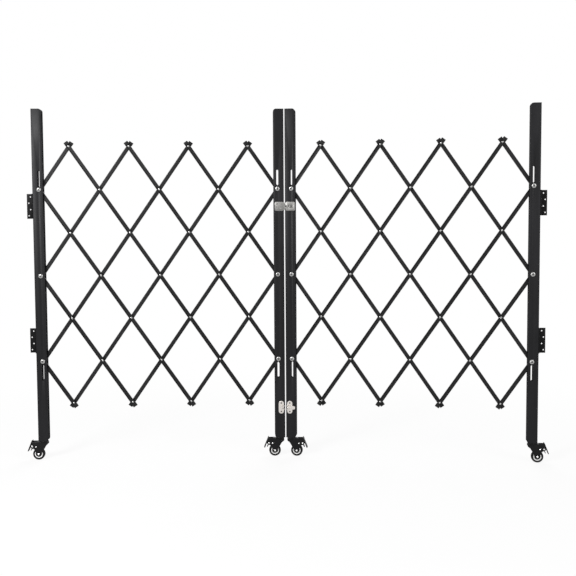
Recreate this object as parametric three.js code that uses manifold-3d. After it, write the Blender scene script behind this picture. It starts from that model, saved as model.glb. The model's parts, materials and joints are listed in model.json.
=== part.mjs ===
// A double-leaf expanding safety barrier. Two riveted scissor lattices of small steel channel hang
// between four channel posts on braked swivel casters. The two middle posts are held together by a
// hasp and a toggle latch, and each outer post carries two hinges for fixing it to a wall.
// Millimetres and degrees, +Z up. The origin is on the floor at the middle of the barrier's outline.
import * as THREE from 'three';
import { mergeVertices } from 'three/addons/utils/BufferGeometryUtils.js';
import Module from 'manifold-3d';

const wasm = await Module();
wasm.setup();

// The lattice: channel strips riveted at every crossing, shown open. Folded, they stand almost upright.
const columns = 8;
const rows = 6;
const rivetPitch = 215;
const openAngle = 55.4;
const foldedAngle = 87;
const leafTurn = 5;
const middleBoltSpacing = 59;
const stripWidth = 16;
const stripDepth = 7;
const stripWall = 1.5;
const stripOverhang = 19;
const layerGap = 3;
const capWall = 1.1;
const capLength = 13;
const rivetRadius = 3;
const rivetHeadRadius = 5;
const rivetHeadHeight = 2.5;
const rivetTailRadius = 4.5;
const rivetTailHeight = 2;
const washerRadius = 5.5;

// The posts and the bolts that carry the lattice
const postWall = 2;
const webRoom = 7.1;
const boltToEdge = 16.5;
const sideRoom = 4.5;
const topRoom = 19;
const bottomRoom = 25;
const cornerRadius = 12;
const endPlateThickness = 3;
const boltRadius = 4;
const boltHeadRadius = 10;
const boltHeadHeight = 5;
const nutRadius = 8;
const nutHeight = 5.7;
const sleeveWall = 2;

// The casters
const wheelRadius = 25;
const wheelWidth = 20;
const trail = 22;
const crownRoom = 22;
const crownHeight = 8;
const crownRadius = 17;
const kingpinRadius = 4;
const kingpinHeadRadius = 7;
const kingpinHeadHeight = 3;
const axleRadius = 4;
const axleHeadHeight = 2;
const cheekThickness = 2.2;
const cheekRoom = 1;
const pedalThickness = 2;
const pedalPinRadius = 2;
const shoeThickness = 6;

// The wall hinges, at these heights above and below the middle of the post
const hingeLength = 102;
const hingeLeafWidth = 25;
const hingeThickness = 2;
const hingeKnuckleRadius = 4.2;
const hingePinRadius = 2.4;
const hingeScrewRadius = 2.6;
const hingeScrewEnd = 2;
const upperHingeRise = 287;
const lowerHingeDrop = 269;

// The hasp, this far below the posts' upper bolts: a slotted strap that swings over an eye that turns
const haspDrop = 72.4;
const haspBaseWidth = 39.5;
const haspPlateHeight = 37;
const haspNeckHeight = 29;
const haspTaper = 7;
const haspCorner = 4;
const haspThickness = 2;
const haspKnuckleRadius = 4;
const haspPinRadius = 1.8;
const haspPinOverhang = 1;
const haspStrapLength = 45;
const haspEyeDistance = 25;
const haspSlotWidth = 7;
const haspSlotRoom = 1.2;
const haspEyeWidth = 12;
const haspEyeThickness = 4;
const haspEyeHeight = 13;
const haspEyeNeckRadius = 2.7;
const padlockHoleRadius = 3.2;
const stapleWidth = 30;

// The toggle latch: a lever on the right post draws a wire bail against a hook on the left post
const latchDrop = 559;
const latchPlateWidth = 22;
const latchPlateLength = 54;
const latchPlateInset = 5.2;
const latchThickness = 2;
const latchPivotInset = 12.5;
const latchPivotHeight = 6;
const latchPinRadius = 2;
const latchThrow = 6;
const overCentreAngle = 10;
const lugRadius = 3.5;
const lugWidth = 6;
const leverLength = 27;
const leverWidth = 18;
const leverEndWidth = 12;
const leverWall = 1.3;
const leverDrop = 4.5;
const bailRadius = 1.6;
const bailRise = 5;
const hookThickness = 2;
const hookLip = 2.4;
const hookRoom = 1.2;
const screwHeadRadius = 3.4;
const screwHeadHeight = 1.2;
const screwInset = 9;

// Clearances
const seatGap = 0.3;
const runningGap = 0.4;
const cutOverrun = 5;

// Sides of the round pieces
const rivetSides = 6;
const boltSides = 8;
const nutSides = 6;
const wheelSides = 16;
const cornerSteps = 2;

// Sizes that follow from those above
const { degToRad } = THREE.MathUtils;
const openRun = rivetPitch * Math.cos(degToRad(openAngle));
const openRise = rivetPitch * Math.sin(degToRad(openAngle));
const foldedRise = rivetPitch * Math.sin(degToRad(foldedAngle));
const halfRows = rows / 2;
const leafLength = columns * openRun;
const webInner = layerGap / 2;
const webOuter = webInner + stripWall;
const webMiddle = webInner + stripWall / 2;
const layerOuter = webInner + stripDepth;
const flangeInner = layerOuter + sideRoom;
const flangeMiddle = flangeInner + postWall / 2;
const postFace = flangeInner + postWall;
const tipReach = stripOverhang * Math.cos(degToRad(openAngle));
const edgeReach = (stripWidth / 2) * Math.sin(degToRad(openAngle));
const boltToWeb = tipReach + edgeReach + webRoom + postWall;
const foldedReach = halfRows * foldedRise + stripOverhang;
const slotTravel = 2 * (foldedRise - openRise);
const axleHeight = wheelRadius * Math.cos(Math.PI / wheelSides);
const crownBottom = axleHeight + wheelRadius + crownRoom;
const crownTop = crownBottom + crownHeight;
const postBottom = crownTop + seatGap;
const midHeight = postBottom + bottomRoom + foldedReach;
const postTop = midHeight + foldedReach + topRoom;
const postMiddle = (boltToEdge - boltToWeb) / 2;
const fittingBack = postFace + seatGap;

// Finishes
const stripPaint = { color: 0x2a2a2b, roughness: 0.5, metalness: 0.1 };
const postPaint = { color: 0x303031, roughness: 0.45, metalness: 0.1 };
const hingePaint = { color: 0x222224, roughness: 0.5, metalness: 0.1 };
const casterPaint = { color: 0x1d1d1e, roughness: 0.4, metalness: 0.2 };
const wheelRubber = { color: 0x1a1a1a, roughness: 0.7, metalness: 0 };
const zincPlate = { color: 0xa9a8a3, roughness: 0.45, metalness: 0.9 };
const nickelPlate = { color: 0xc9c4be, roughness: 0.3, metalness: 0.95 };

// A closed geometry as a solid that can be joined and cut
function solid(geometry) {
  const bare = geometry.index ? geometry.toNonIndexed() : geometry.clone();
  bare.deleteAttribute('normal');
  bare.deleteAttribute('uv');
  const merged = mergeVertices(bare);
  return new wasm.Manifold(
    new wasm.Mesh({
      numProp: 3,
      vertProperties: merged.attributes.position.array,
      triVerts: new Uint32Array(merged.index.array),
    }),
  );
}

function join(...solids) {
  return solids.reduce((whole, piece) => whole.add(piece));
}

function cut(whole, ...tools) {
  return tools.reduce((rest, tool) => rest.subtract(tool), whole);
}

function mesh(name, made, finish) {
  const { vertProperties, triVerts, numProp } = made.getMesh();
  const geometry = new THREE.BufferGeometry();
  geometry.setAttribute('position', new THREE.BufferAttribute(vertProperties, numProp));
  geometry.setIndex(new THREE.BufferAttribute(triVerts, 1));
  geometry.computeVertexNormals();
  const material = new THREE.MeshStandardMaterial({ ...finish, flatShading: true });
  const piece = new THREE.Mesh(geometry, material);
  piece.name = name;
  return piece;
}

// A block between two opposite corners, given in any order
function block(a, b) {
  const sizes = a.map((value, axis) => Math.abs(value - b[axis]));
  const middle = a.map((value, axis) => (value + b[axis]) / 2);
  return solid(new THREE.BoxGeometry(...sizes).translate(...middle));
}

function barX(x0, x1, y, z, radius, sides) {
  const bar = new THREE.CylinderGeometry(radius, radius, x1 - x0, sides);
  return solid(bar.rotateZ(Math.PI / 2).translate((x0 + x1) / 2, y, z));
}

// A round bar along y between two ends. Its second end may have another radius.
function barY(x, z, y0, y1, radius, sides, endRadius = radius) {
  const bar = new THREE.CylinderGeometry(endRadius, radius, y1 - y0, sides);
  return solid(bar.translate(x, (y0 + y1) / 2, z));
}

// A round bar that stands upright
function barZ(x, y, z0, z1, radius, sides) {
  const bar = new THREE.CylinderGeometry(radius, radius, z1 - z0, sides);
  return solid(bar.rotateX(Math.PI / 2).translate(x, y, (z0 + z1) / 2));
}

// The radius of a hole whose flat sides all clear a round bar
function holeRadius(radius, sides) {
  return (radius + runningGap) / Math.cos(Math.PI / sides);
}

// A round bar between two points
function wire(from, to, radius, sides) {
  const along = to.clone().sub(from);
  const bar = new THREE.CylinderGeometry(radius, radius, along.length(), sides);
  const upright = new THREE.Vector3(0, 1, 0);
  const turn = new THREE.Quaternion().setFromUnitVectors(upright, along.clone().normalize());
  bar.applyQuaternion(turn);
  const middle = from.clone().lerp(to, 0.5);
  return solid(bar.translate(middle.x, middle.y, middle.z));
}

function outline(points) {
  return new THREE.Shape(points.map(([across, up]) => new THREE.Vector2(across, up)));
}

// A long outline with round ends, from one end's centre to the other's
function roundEnded([x0, y0], [x1, y1], radius) {
  const angle = Math.atan2(y1 - y0, x1 - x0);
  const quarter = Math.PI / 2;
  const shape = new THREE.Shape();
  shape.absarc(x1, y1, radius, angle - quarter, angle + quarter, false);
  shape.absarc(x0, y0, radius, angle + quarter, angle + 3 * quarter, false);
  shape.closePath();
  return shape;
}

function plate(shape, depth) {
  const options = { depth, bevelEnabled: false, curveSegments: cornerSteps };
  return new THREE.ExtrudeGeometry(shape, options);
}

// A plate whose outline is in x and z, from y0 to y1
function plateY(shape, y0, y1) {
  return solid(plate(shape, y1 - y0).rotateX(Math.PI / 2).translate(0, y1, 0));
}

// A plate whose outline is in x and y, from z0 to z1
function plateZ(shape, z0, z1) {
  return solid(plate(shape, z1 - z0).translate(0, 0, z0));
}

// The same solid in front and behind, or above and below, made from its two ends on one side
function bothSides(near, far, make) {
  return [make(near, far), make(-far, -near)];
}

// A strip's channel along x from its first pivot. side is -1 in the front layer and 1 in the back layer.
// The webs of the two layers are next to each other, and the flanges point away.
function channel(pivots, side) {
  const start = -stripOverhang;
  const end = (pivots - 1) * rivetPitch + stripOverhang;
  const half = stripWidth / 2;
  const bar = block([start, side * webInner, -half], [end, side * layerOuter, half]);
  const hollow = block(
    [start - cutOverrun, side * webOuter, stripWall - half],
    [end + cutOverrun, side * (layerOuter + cutOverrun), half - stripWall],
  );
  return cut(bar, hollow);
}

// The cap pushed over a strip's end. direction is 1 or -1 along the strip.
function endCap(end, side, direction) {
  const half = stripWidth / 2 + capWall;
  return block(
    [end - direction * capLength, side * (webInner - capWall), -half],
    [end + direction * capWall, side * (layerOuter + capWall), half],
  );
}

// A rivet, held by the front strip: its head, the washer between the layers, and the tail behind
const headTopShare = 0.7;

function rivet(x) {
  const headTop = -webOuter - rivetHeadHeight;
  const tailFoot = webOuter + seatGap;
  const tailTop = tailFoot + rivetTailHeight;
  const faceRadius = rivetHeadRadius * headTopShare;
  const head = barY(x, 0, headTop, -webMiddle, faceRadius, rivetSides, rivetHeadRadius);
  const washer = barY(x, 0, -webMiddle, webInner - seatGap, washerRadius, rivetSides);
  const shank = barY(x, 0, -webInner, tailTop, rivetRadius, rivetSides);
  const tail = barY(x, 0, tailFoot, tailTop, rivetTailRadius, rivetSides);
  return join(head, washer, shank, tail);
}

// A post bolt with its head, nut, two spacing sleeves and a washer. A sliding bolt is held by the front
// strip and is clear of the post. The middle bolt is held by the post and is clear of both strips.
function postBolt(z, slides) {
  const sleeve = boltRadius + sleeveWall;
  const face = slides ? postFace + seatGap : flangeMiddle;
  const headTop = postFace + seatGap + boltHeadHeight;
  const nutTop = postFace + seatGap + nutHeight;
  const sleeveEnd = slides ? flangeInner - seatGap : flangeMiddle;
  const frontSleeveEnd = slides ? -webMiddle : -webOuter - seatGap;
  const washerFront = slides ? -webMiddle : seatGap - webInner;
  const faceRadius = boltHeadRadius * headTopShare;
  const head = barY(0, z, -headTop, -face, faceRadius, boltSides, boltHeadRadius);
  const nut = barY(0, z, face, nutTop, nutRadius, nutSides);
  const shank = barY(0, z, -headTop, nutTop, boltRadius, boltSides);
  const frontSleeve = barY(0, z, -sleeveEnd, frontSleeveEnd, sleeve, rivetSides);
  const washer = barY(0, z, washerFront, webInner - seatGap, washerRadius, rivetSides);
  const backSleeve = barY(0, z, webOuter + seatGap, sleeveEnd, sleeve, rivetSides);
  return join(head, nut, shank, frontSleeve, washer, backSleeve);
}

// Where a strip starts and ends. Columns count from the middle post and rows from the top. Front strips
// rise along the leaf and back strips fall.
function stripRun(layer, number) {
  const sum = 2 * number - 1;
  const first = Math.max(0, sum - rows);
  const last = Math.min(columns, sum);
  return layer === 'front'
    ? { first, last, row: sum - first, rowStep: -1 }
    : { first, last, row: first + rows - sum, rowStep: 1 };
}

// A strip with its caps, and with its own rivets and sliding bolts or with the holes for the others'
function strip(name, layer, number) {
  const { first, last, row, rowStep } = stripRun(layer, number);
  const steps = last - first;
  const side = layer === 'front' ? -1 : 1;
  const isTip = (at) => at === 0 || at === rows;
  let made = channel(steps + 1, side);
  if (isTip(row)) made = join(made, endCap(-stripOverhang, side, -1));
  if (isTip(row + rowStep * steps)) made = join(made, endCap(steps * rivetPitch + stripOverhang, side, 1));
  for (let pivot = 0; pivot <= steps; pivot += 1) {
    const x = pivot * rivetPitch;
    const atPost = first + pivot === 0 || first + pivot === columns;
    const atMiddleBolt = atPost && row + rowStep * pivot === halfRows;
    if (layer === 'back' || atMiddleBolt) {
      const [radius, sides] = atPost ? [boltRadius, boltSides] : [rivetRadius, rivetSides];
      made = cut(made, barY(x, 0, -layerOuter, layerOuter, holeRadius(radius, sides), sides));
    } else {
      made = join(made, atPost ? postBolt(0, true).translate([x, 0, 0]) : rivet(x));
    }
  }
  const piece = mesh(name, made, stripPaint);
  piece.position.set(first * openRun, 0, midHeight + (halfRows - row) * openRise);
  piece.rotation.y = rowStep * degToRad(openAngle);
  return piece;
}

// A post, with its web towards -x and its bolts on x = 0: channel with round free corners, slots for
// the sliding bolts, holes for the screws of its hinges, the middle bolt, and the plate and kingpin for
// the caster
function post(name, hingeHeights) {
  const side = new THREE.Shape();
  const cornerX = boltToEdge - cornerRadius;
  side.moveTo(-boltToWeb, postBottom);
  side.absarc(cornerX, postBottom + cornerRadius, cornerRadius, -Math.PI / 2, 0, false);
  side.absarc(cornerX, postTop - cornerRadius, cornerRadius, 0, Math.PI / 2, false);
  side.lineTo(-boltToWeb, postTop);
  side.closePath();
  const hollow = block(
    [postWall - boltToWeb, -flangeInner, postBottom - cutOverrun],
    [boltToEdge + cutOverrun, flangeInner, postTop + cutOverrun],
  );
  const slots = [1, -1].map((direction) => {
    const open = midHeight + 2 * direction * openRise;
    const slot = roundEnded([0, open], [0, open + direction * slotTravel], boltRadius + runningGap);
    return plateY(slot, -postFace - cutOverrun, postFace + cutOverrun);
  });
  const screwHoleRadius = hingeScrewRadius + runningGap;
  const screwHoles = hingeHeights.flatMap((z) => hingeScrews(z, -cutOverrun, cutOverrun, screwHoleRadius));
  const bar = cut(plateY(side, -postFace, postFace), hollow, ...slots, ...screwHoles);
  const footTop = postBottom + endPlateThickness;
  const foot = block(
    [postWall / 2 - boltToWeb, -flangeMiddle, postBottom],
    [cornerX, flangeMiddle, footTop],
  );
  const headTop = crownBottom - seatGap;
  const kingpinEnd = headTop - kingpinHeadHeight;
  const kingpin = barZ(postMiddle, 0, kingpinEnd, footTop, kingpinRadius, boltSides);
  const kingpinHead = barZ(postMiddle, 0, kingpinEnd, headTop, kingpinHeadRadius, boltSides);
  return mesh(name, join(bar, foot, kingpin, kingpinHead, postBolt(midHeight, false)), postPaint);
}

// A caster's fork, turning on the kingpin at x = 0, with the wheel trailing towards +x. The points of a
// cheek are shares of the wheel's radius from the axle, and its top is at the crown.
const cheekShares = [
  [-0.96, 1.01],
  [-0.64, 0.53],
  [-0.36, -0.03],
  [0, -0.35],
  [0.32, -0.11],
  [0.48, 0.37],
  [0.64, 0.85],
  [1.2, 1.01],
  [1.36, 1.25],
];
const cheekTopShare = 1.2;
const pedalPivotShares = [1.02, 1.28];
const cheekInner = wheelWidth / 2 + cheekRoom;
const cheekOuter = cheekInner + cheekThickness;
const [pedalX, pedalZ] = fromAxle(pedalPivotShares);

function fromAxle([acrossShare, upShare]) {
  return [trail + acrossShare * wheelRadius, axleHeight + upShare * wheelRadius];
}

function fork(name) {
  const bridgeTop = crownTop - crownHeight / 4;
  const cheekEnd = trail + cheekTopShare * wheelRadius;
  const cheek = outline([
    [-crownRadius, bridgeTop],
    [-crownRadius, crownBottom],
    ...cheekShares.map(fromAxle),
    [cheekEnd, bridgeTop],
  ]);
  const cheeks = bothSides(cheekInner, cheekOuter, (y0, y1) => plateY(cheek, y0, y1));
  const bridge = block([-crownRadius, -cheekOuter, crownBottom], [trail, cheekOuter, bridgeTop]);
  const crown = barZ(0, 0, crownBottom, crownTop, crownRadius, boltSides);
  const axleEnd = cheekOuter + axleHeadHeight;
  const axle = barY(trail, axleHeight, -axleEnd, axleEnd, axleRadius, boltSides);
  const boreRadius = holeRadius(kingpinRadius, boltSides);
  const bore = barZ(0, 0, crownBottom - cutOverrun, crownTop + cutOverrun, boreRadius, boltSides);
  const pinHole = barY(pedalX, pedalZ, -axleEnd, axleEnd, holeRadius(pedalPinRadius, boltSides), boltSides);
  return mesh(name, cut(join(bridge, crown, ...cheeks, axle), bore, pinHole), casterPaint);
}

// The wheel, one turned piece: hub, disc and tyre. Its outline is in shares of the radius and half the
// width.
const wheelShares = [[0.36, 1], [0.44, 0.7], [0.8, 0.92], [1, 0.8]];

function wheel(name) {
  const half = wheelWidth / 2;
  const bore = holeRadius(axleRadius, wheelSides);
  const side = wheelShares.map(([outShare, acrossShare]) => [
    outShare * wheelRadius,
    acrossShare * half,
  ]);
  const section = [
    [bore, -half],
    ...side.map(([out, across]) => [out, -across]),
    ...side.toReversed(),
    [bore, half],
    [bore, -half],
  ];
  const points = section.map(([out, across]) => new THREE.Vector2(out, across));
  const turned = new THREE.LatheGeometry(points, wheelSides);
  const piece = mesh(name, solid(turned.rotateY(Math.PI / wheelSides)), wheelRubber);
  piece.position.set(trail, 0, axleHeight);
  return piece;
}

// The brake pedal, pressed down: a sloping plate, two ears on a pin through the fork, and the shoe that
// presses on the tyre
const pedalTopShares = [1.04, 2.28];
const pedalToeShares = [1.76, 0.48];
const earTopShare = 0.3;
const earToeShare = 0.8;

function pedal(name) {
  const top = fromAxle(pedalTopShares);
  const toe = fromAxle(pedalToeShares);
  const alongPlate = (share) => [0, 1].map((axis) => top[axis] + (toe[axis] - top[axis]) * share);
  const thicker = ([x, z]) => [x + pedalThickness, z];
  const earOuter = cheekInner - runningGap;
  const tread = plateY(outline([top, thicker(top), thicker(toe), toe]), -earOuter, earOuter);
  const eye = 2 * pedalPinRadius;
  const ear = outline([
    [pedalX - eye, pedalZ + eye],
    [pedalX - eye, pedalZ - eye],
    thicker(alongPlate(earToeShare)),
    thicker(alongPlate(earTopShare)),
  ]);
  const ears = bothSides(earOuter - pedalThickness, earOuter, (y0, y1) => plateY(ear, y0, y1));
  const pinEnd = cheekOuter + pedalPinRadius / 2;
  const pin = barY(pedalX, pedalZ, -pinEnd, pinEnd, pedalPinRadius, boltSides);
  const toAxle = [trail - pedalX, axleHeight - pedalZ];
  const shoeLength = Math.hypot(...toAxle) - wheelRadius - 2 * seatGap;
  const shoe = new THREE.BoxGeometry(shoeLength, 2 * earOuter, shoeThickness);
  shoe.translate(shoeLength / 2, 0, 0);
  shoe.rotateY(-Math.atan2(toAxle[1], toAxle[0]));
  shoe.translate(pedalX, 0, pedalZ);
  return mesh(name, join(tread, ...ears, pin, solid(shoe)), casterPaint);
}

function caster(place, x) {
  const group = new THREE.Group();
  group.add(fork(`${place}_caster_fork`));
  group.add(wheel(`${place}_caster_wheel`));
  group.add(pedal(`${place}_brake_pedal`));
  group.position.x = x;
  return group;
}

// The knuckles of a hinge on an upright pin: two at the ends with the pin, and one between them with its
// bore
function endKnuckles(x, y, low, length, radius, pinRadius) {
  const pin = barZ(x, y, low, low + length, pinRadius, boltSides);
  const third = length / 3;
  const ends = [low, low + 2 * third].map((z) => barZ(x, y, z, z + third, radius, boltSides));
  return join(pin, ...ends);
}

function middleKnuckle(x, y, low, length, radius) {
  const third = length / 3;
  return barZ(x, y, low + third + seatGap, low + 2 * third - seatGap, radius, boltSides);
}

function pinBore(x, y, low, length, pinRadius) {
  const radius = holeRadius(pinRadius, boltSides);
  return barZ(x, y, low - cutOverrun, low + length + cutOverrun, radius, boltSides);
}

// A wall hinge on a post with its web towards -x: one leaf on the web, and one that turns on the pin
const hingeX = -boltToWeb - seatGap - hingeKnuckleRadius;
const hingeY = postFace - hingeKnuckleRadius;
const hingeScrewShares = [
  [0.7, 0.12],
  [0.42, 0.37],
  [0.7, 0.63],
  [0.42, 0.88],
];

// The four screws that hold a hinge to the web, reaching out of its two faces by the lengths given
function hingeScrews(z, outside, inside, radius) {
  const low = z - hingeLength / 2;
  const end = postWall - boltToWeb + inside;
  return hingeScrewShares.map(([acrossShare, upShare]) => {
    const y = hingeY - acrossShare * hingeLeafWidth;
    return barX(outside - boltToWeb, end, y, low + upShare * hingeLength, radius, rivetSides);
  });
}

function postLeaf(name, z) {
  const low = z - hingeLength / 2;
  const face = -boltToWeb - seatGap;
  const flat = block(
    [face - hingeThickness, hingeY - hingeLeafWidth, low],
    [face, hingeY, low + hingeLength],
  );
  const reach = hingeKnuckleRadius + seatGap;
  const gap = block(
    [hingeX - reach, hingeY - reach, low + hingeLength / 3],
    [hingeX + reach + cutOverrun, hingeY + reach, low + (2 * hingeLength) / 3],
  );
  const knuckles = endKnuckles(hingeX, hingeY, low, hingeLength, hingeKnuckleRadius, hingePinRadius);
  const screws = hingeScrews(z, -seatGap - hingeThickness / 2, hingeScrewEnd, hingeScrewRadius);
  return mesh(name, join(cut(flat, gap), knuckles, ...screws), hingePaint);
}

function wallLeaf(name, z) {
  const low = z - hingeLength / 2;
  const third = hingeLength / 3;
  const back = hingeY + hingeKnuckleRadius;
  const front = back - hingeThickness;
  const flat = block([hingeX - hingeLeafWidth, front, low], [hingeX, back, low + hingeLength]);
  const reach = hingeKnuckleRadius + seatGap;
  const notches = [low - cutOverrun, low + 2 * third - seatGap].map((foot) =>
    block(
      [hingeX - reach, front - cutOverrun, foot],
      [hingeX + cutOverrun, back + cutOverrun, foot + third + seatGap + cutOverrun],
    ),
  );
  const screwHoles = hingeScrewShares.map(([acrossShare, upShare]) => {
    const x = hingeX - acrossShare * hingeLeafWidth;
    const holeZ = low + upShare * hingeLength;
    return barY(x, holeZ, front - cutOverrun, back + cutOverrun, hingeScrewRadius, rivetSides);
  });
  const knuckle = middleKnuckle(hingeX, hingeY, low, hingeLength, hingeKnuckleRadius);
  const bore = pinBore(hingeX, hingeY, low, hingeLength, hingePinRadius);
  return mesh(name, cut(join(cut(flat, ...notches), knuckle), bore, ...screwHoles), hingePaint);
}

// One leaf of the barrier. x runs from the middle post's bolts to the outer post's, and the front is -y.
function leaf(hand) {
  const group = new THREE.Group();
  for (let number = 1; number <= (columns + rows) / 2; number += 1) {
    group.add(strip(`${hand}_front_strip_${number}`, 'front', number));
    group.add(strip(`${hand}_back_strip_${number}`, 'back', number));
  }
  group.add(post(`${hand}_middle_post`, []), caster(`${hand}_middle`, postMiddle));
  const heights = { upper: midHeight + upperHingeRise, lower: midHeight - lowerHingeDrop };
  const outer = new THREE.Group();
  outer.add(post(`${hand}_outer_post`, Object.values(heights)));
  for (const [level, z] of Object.entries(heights)) {
    outer.add(postLeaf(`${hand}_${level}_hinge_post_leaf`, z));
    outer.add(wallLeaf(`${hand}_${level}_hinge_wall_leaf`, z));
  }
  outer.position.x = leafLength;
  outer.scale.x = -1;
  group.add(outer, caster(`${hand}_outer`, leafLength - postMiddle));
  return group;
}

const rightLeaf = leaf('right');
rightLeaf.position.x = middleBoltSpacing / 2;
rightLeaf.rotation.z = -degToRad(leafTurn);

const leftLeaf = leaf('left');
leftLeaf.position.x = -middleBoltSpacing / 2;
leftLeaf.rotation.z = degToRad(leafTurn);
leftLeaf.scale.x = -1;

// A place in the left leaf as the right leaf sees it
function fromLeft(x, y) {
  rightLeaf.updateMatrix();
  leftLeaf.updateMatrix();
  const place = new THREE.Vector3(x, y, 0).applyMatrix4(leftLeaf.matrix);
  return place.applyMatrix4(rightLeaf.matrix.clone().invert());
}

// The hasp's base on the left post, with the end knuckles and the pin of its strap
const haspZ = midHeight + 2 * openRise - haspDrop;
const haspLow = haspZ - haspNeckHeight / 2;
const haspPinX = -boltToWeb - haspPinOverhang;
const haspPinY = -fittingBack - haspKnuckleRadius;

// A plate along x that widens past its neck and has its far corners cut off
function haspPlate(near, far, y0, y1) {
  const [neck, wide] = [haspNeckHeight / 2, haspPlateHeight / 2];
  const upper = [
    [far, wide - haspCorner],
    [far - haspCorner, wide],
    [near + haspTaper, wide],
    [near, neck],
  ];
  const lower = upper.toReversed().map(([x, z]) => [x, -z]);
  return plateY(outline([...upper, ...lower].map(([x, z]) => [x, haspZ + z])), y0, y1);
}

function haspBase() {
  const far = haspPinX + haspBaseWidth;
  const flat = haspPlate(haspPinX, far, -fittingBack - haspThickness, -fittingBack);
  const reach = haspKnuckleRadius + seatGap;
  const gap = block(
    [haspPinX - reach, haspPinY - reach, haspLow + haspNeckHeight / 3],
    [haspPinX + reach, haspPinY + reach, haspLow + (2 * haspNeckHeight) / 3],
  );
  const radii = [haspKnuckleRadius, haspPinRadius];
  const knuckles = endKnuckles(haspPinX, haspPinY, haspLow, haspNeckHeight, ...radii);
  return mesh('hasp_base', join(cut(flat, gap), knuckles), zincPlate);
}

// The strap, closed over the right post. Its slot clears the eye all the way as it swings.
const haspPin = fromLeft(haspPinX, haspPinY);
const strapBack = fittingBack + haspThickness + seatGap;
const strapFront = strapBack + haspThickness;
const eyeX = haspPin.x + haspEyeDistance;
const eyeFoot = strapFront + runningGap;
const eyeTop = eyeFoot + haspEyeHeight;

function haspStrap() {
  const near = haspPin.x + haspKnuckleRadius + seatGap;
  const flat = haspPlate(near, haspPin.x + haspStrapLength, -strapFront, -strapBack);
  const knuckle = middleKnuckle(haspPin.x, haspPin.y, haspLow, haspNeckHeight, haspKnuckleRadius);
  const tongueLow = haspLow + haspNeckHeight / 3 + seatGap;
  const tongueHigh = haspLow + (2 * haspNeckHeight) / 3 - seatGap;
  const tongue = block([haspPin.x, -strapFront, tongueLow], [near + haspTaper, -strapBack, tongueHigh]);
  const slotNear = eyeX - haspEyeWidth / 2 - haspSlotRoom;
  const eyeSwing = Math.hypot(haspEyeDistance + haspEyeWidth / 2, eyeTop + haspPin.y);
  const slotFar = haspPin.x + eyeSwing + haspSlotRoom;
  const slot = block(
    [slotNear, -strapFront - cutOverrun, haspZ - haspSlotWidth / 2],
    [slotFar, -strapBack + cutOverrun, haspZ + haspSlotWidth / 2],
  );
  const bore = pinBore(haspPin.x, haspPin.y, haspLow, haspNeckHeight, haspPinRadius);
  return mesh('hasp_strap', cut(join(flat, tongue, knuckle), slot, bore), zincPlate);
}

// The plate that carries the eye, under the strap
function haspStaplePlate() {
  const flat = block(
    [eyeX - stapleWidth / 2, -fittingBack - haspThickness, haspLow],
    [eyeX + stapleWidth / 2, -fittingBack, haspLow + haspNeckHeight],
  );
  const neckHole = holeRadius(haspEyeNeckRadius, boltSides);
  const hole = barY(eyeX, haspZ, -strapBack - cutOverrun, 0, neckHole, boltSides);
  return mesh('hasp_staple_plate', cut(flat, hole), zincPlate);
}

// The eye, in line with the slot, with a hole for a padlock
function haspEye() {
  const half = haspEyeWidth / 2;
  const blade = outline([
    [eyeX - half, -eyeFoot],
    [eyeX + half, -eyeFoot],
    [eyeX + half, half / 2 - eyeTop],
    [eyeX + half / 2, -eyeTop],
    [eyeX - half / 2, -eyeTop],
    [eyeX - half, half / 2 - eyeTop],
  ]);
  const [low, high] = [haspZ - haspEyeThickness / 2, haspZ + haspEyeThickness / 2];
  const neckTop = -eyeFoot - haspEyeThickness / 4;
  const neck = barY(eyeX, haspZ, neckTop, -fittingBack, haspEyeNeckRadius, boltSides);
  const holeY = -(eyeFoot + eyeTop) / 2;
  const hole = barZ(eyeX, holeY, low - cutOverrun, high + cutOverrun, padlockHoleRadius, boltSides);
  return mesh('hasp_eye', join(cut(plateZ(blade, low, high), hole), neck), zincPlate);
}

// The toggle latch's two plates, each with two screws
const latchZ = midHeight - latchDrop;
const latchFace = fittingBack + latchThickness;
const latchPlateX = latchPlateInset + latchPlateWidth / 2 - boltToWeb;

function latchPlate() {
  const radius = latchPlateWidth / 2;
  const straight = latchPlateLength / 2 - radius;
  const shape = roundEnded([latchPlateX, latchZ - straight], [latchPlateX, latchZ + straight], radius);
  const top = -latchFace - screwHeadHeight;
  const topRadius = screwHeadRadius * headTopShare;
  const screws = [-1, 1].map((direction) => {
    const z = latchZ + direction * (latchPlateLength / 2 - screwInset);
    return barY(latchPlateX, z, top, -fittingBack, topRadius, rivetSides, screwHeadRadius);
  });
  return join(plateY(shape, -latchFace, -fittingBack), ...screws);
}

const pivotX = latchPivotInset - boltToWeb;
const pivotY = -latchFace - latchPivotHeight;

function latchBase() {
  const [low, high] = [latchZ - lugWidth / 2, latchZ + lugWidth / 2];
  const lugFoot = latchThickness / 2 - latchFace;
  const lug = block([pivotX - lugRadius, lugFoot, low], [pivotX + lugRadius, pivotY, high]);
  const lugTop = barZ(pivotX, pivotY, low, high, lugRadius, boltSides);
  const boreRadius = holeRadius(latchPinRadius, boltSides);
  const bore = barZ(pivotX, pivotY, low - cutOverrun, high + cutOverrun, boreRadius, boltSides);
  return mesh('latch_base', join(latchPlate(), cut(join(lug, lugTop), bore)), nickelPlate);
}

// The lever, closed: two walls on its pin, and a plate in front that is narrow between the bail's rods
const wallInner = lugWidth / 2 + runningGap;
const wallOuter = wallInner + leverWall;
const joinX = pivotX + latchThrow * Math.cos(degToRad(overCentreAngle));
const joinY = pivotY + latchThrow * Math.sin(degToRad(overCentreAngle));

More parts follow.
